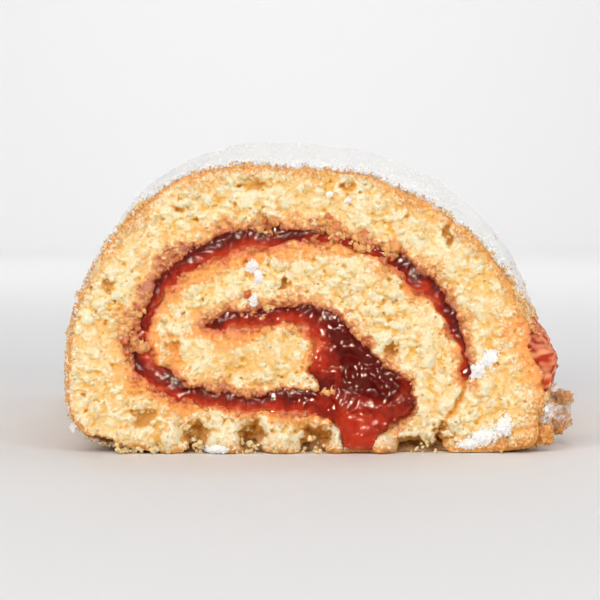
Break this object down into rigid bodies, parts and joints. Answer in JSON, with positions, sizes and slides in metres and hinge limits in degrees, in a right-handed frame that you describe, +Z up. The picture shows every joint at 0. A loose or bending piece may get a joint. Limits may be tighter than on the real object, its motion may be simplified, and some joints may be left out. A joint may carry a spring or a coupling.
{
  "type": "jam roly-poly",
  "caption": "Cut piece of a rolled sponge cake: a spiral of jam shows at its cut faces, a drip of jam runs down the front one and icing sugar lies on its crust.",
  "frame": {"origin": "on the board, under the middle of the roll's box", "axes": "+Y along the roll, from the cut face that shows the drip towards the other one; +Z up"},
  "size_m": [0.1072, 0.1433, 0.0641],
  "materials": {
    "sponge": "open golden crumb with a browned crust, matte",
    "jam": "glossy red jam, dark where it is thick",
    "icing_sugar": "dull white powder"
  },
  "bodies": {
    "root": {"sponge": "sponge", "jam": "jam", "jam_smear": "jam"}
  },
  "joints": []
}
